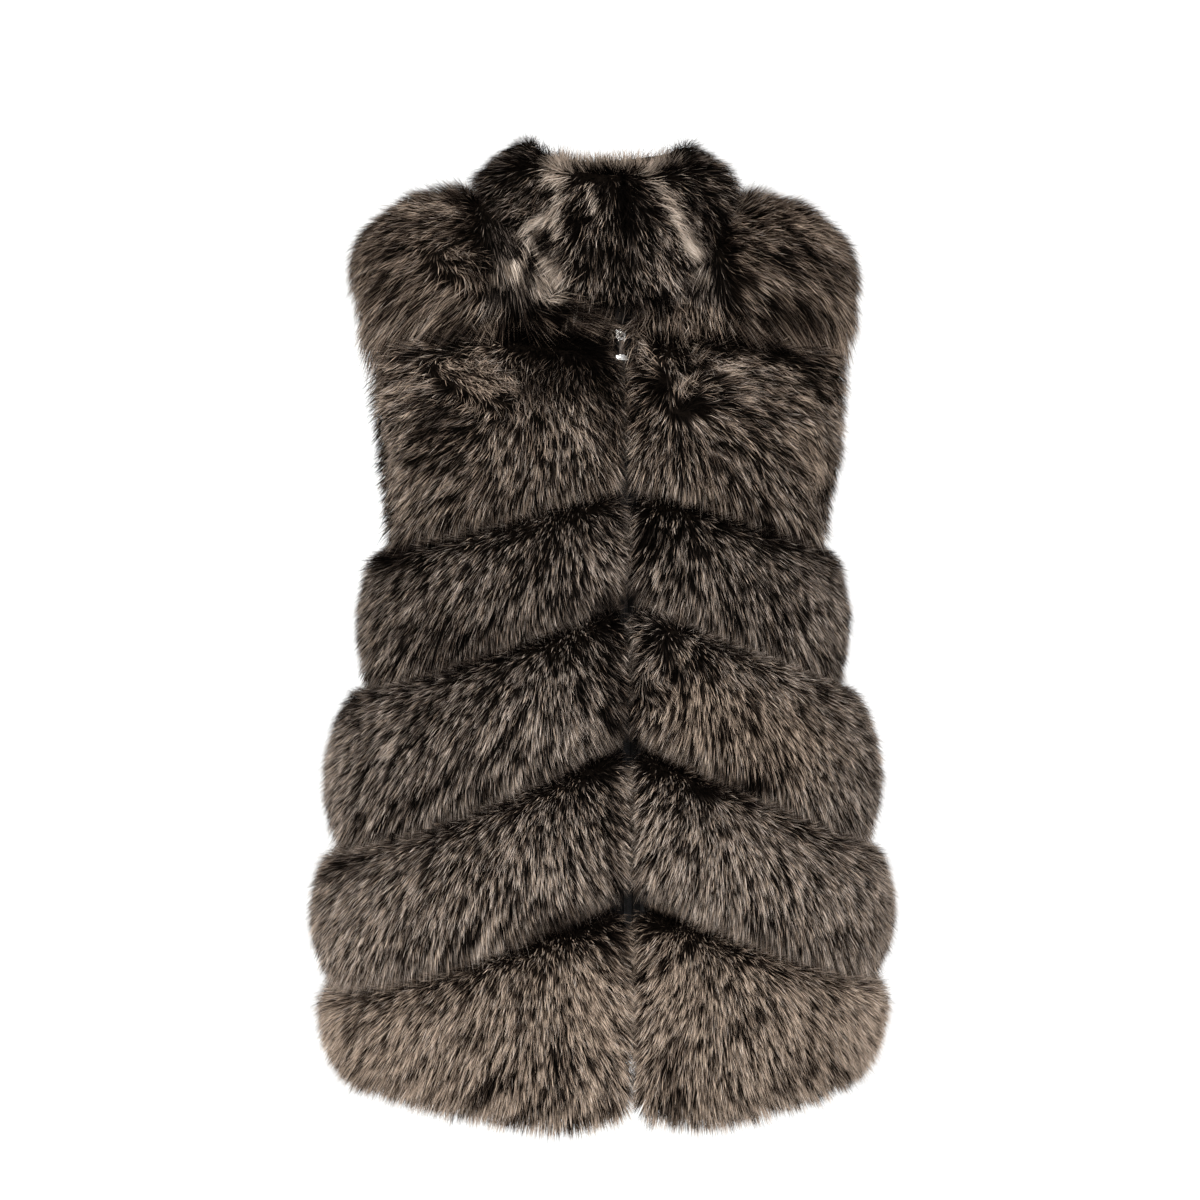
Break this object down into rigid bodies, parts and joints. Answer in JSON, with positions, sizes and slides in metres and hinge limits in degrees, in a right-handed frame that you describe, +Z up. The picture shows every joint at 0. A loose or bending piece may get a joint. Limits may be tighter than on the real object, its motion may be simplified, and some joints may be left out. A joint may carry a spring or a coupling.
{
  "type": "fur vest",
  "caption": "Sleeveless long-haired fur vest of sloping strips on a leather ground, with a stand-up fur collar and a centre-front zip that closes to the neck.",
  "frame": {"origin": "middle of the neck at the height of the two neck points, where the wearer's shoulders carry the vest", "axes": "+Z up along the wearer, -Y to the front with the zip, +X to the wearer's left"},
  "size_m": [0.5072, 0.381, 0.8232],
  "materials": {
    "fox_fur": "long frosted fox hair, dark brown at the root with grey beige tips, dull",
    "collar_fur": "long frosted fox hair, darker than the body, with beige underfur at the partings",
    "leather": "black, smooth, faint sheen",
    "zip_tape": "black woven tape with fine ribs along it",
    "zip_coil": "black closed coil teeth",
    "zip_metal": "bright nickel, with a dark brown leather strap in the pull"
  },
  "bodies": {
    "vest": {"left_front_leather": "leather", "right_front_leather": "leather", "back_leather": "leather", "collar_leather": "leather", "left_front_fur_1": "fox_fur", "left_front_fur_2": "fox_fur", "left_front_fur_3": "fox_fur", "left_front_fur_4": "fox_fur", "left_front_fur_5": "fox_fur", "left_front_fur_6": "fox_fur", "right_front_fur_1": "fox_fur", "right_front_fur_2": "fox_fur", "right_front_fur_3": "fox_fur", "right_front_fur_4": "fox_fur", "right_front_fur_5": "fox_fur", "right_front_fur_6": "fox_fur", "back_fur_1": "fox_fur", "back_fur_2": "fox_fur", "back_fur_3": "fox_fur", "back_fur_4": "fox_fur", "back_fur_5": "fox_fur", "back_fur_6": "fox_fur", "collar_fur_left": "collar_fur", "collar_fur_right": "collar_fur", "collar_fur_back": "collar_fur", "zip_tape_left": "zip_tape", "zip_tape_right": "zip_tape", "zip_chain": "zip_coil", "zip_slider": "zip_metal"},
    "pull": {"zip_pull": "zip_metal"}
  },
  "joints": [
    {"name": "pull_hinge", "type": "hinge", "parent": "vest", "child": "pull", "pos_m": [0, -0.1009, -0.1069], "axis": [-1, 0, 0], "range_deg": [0, 90]}
  ]
}
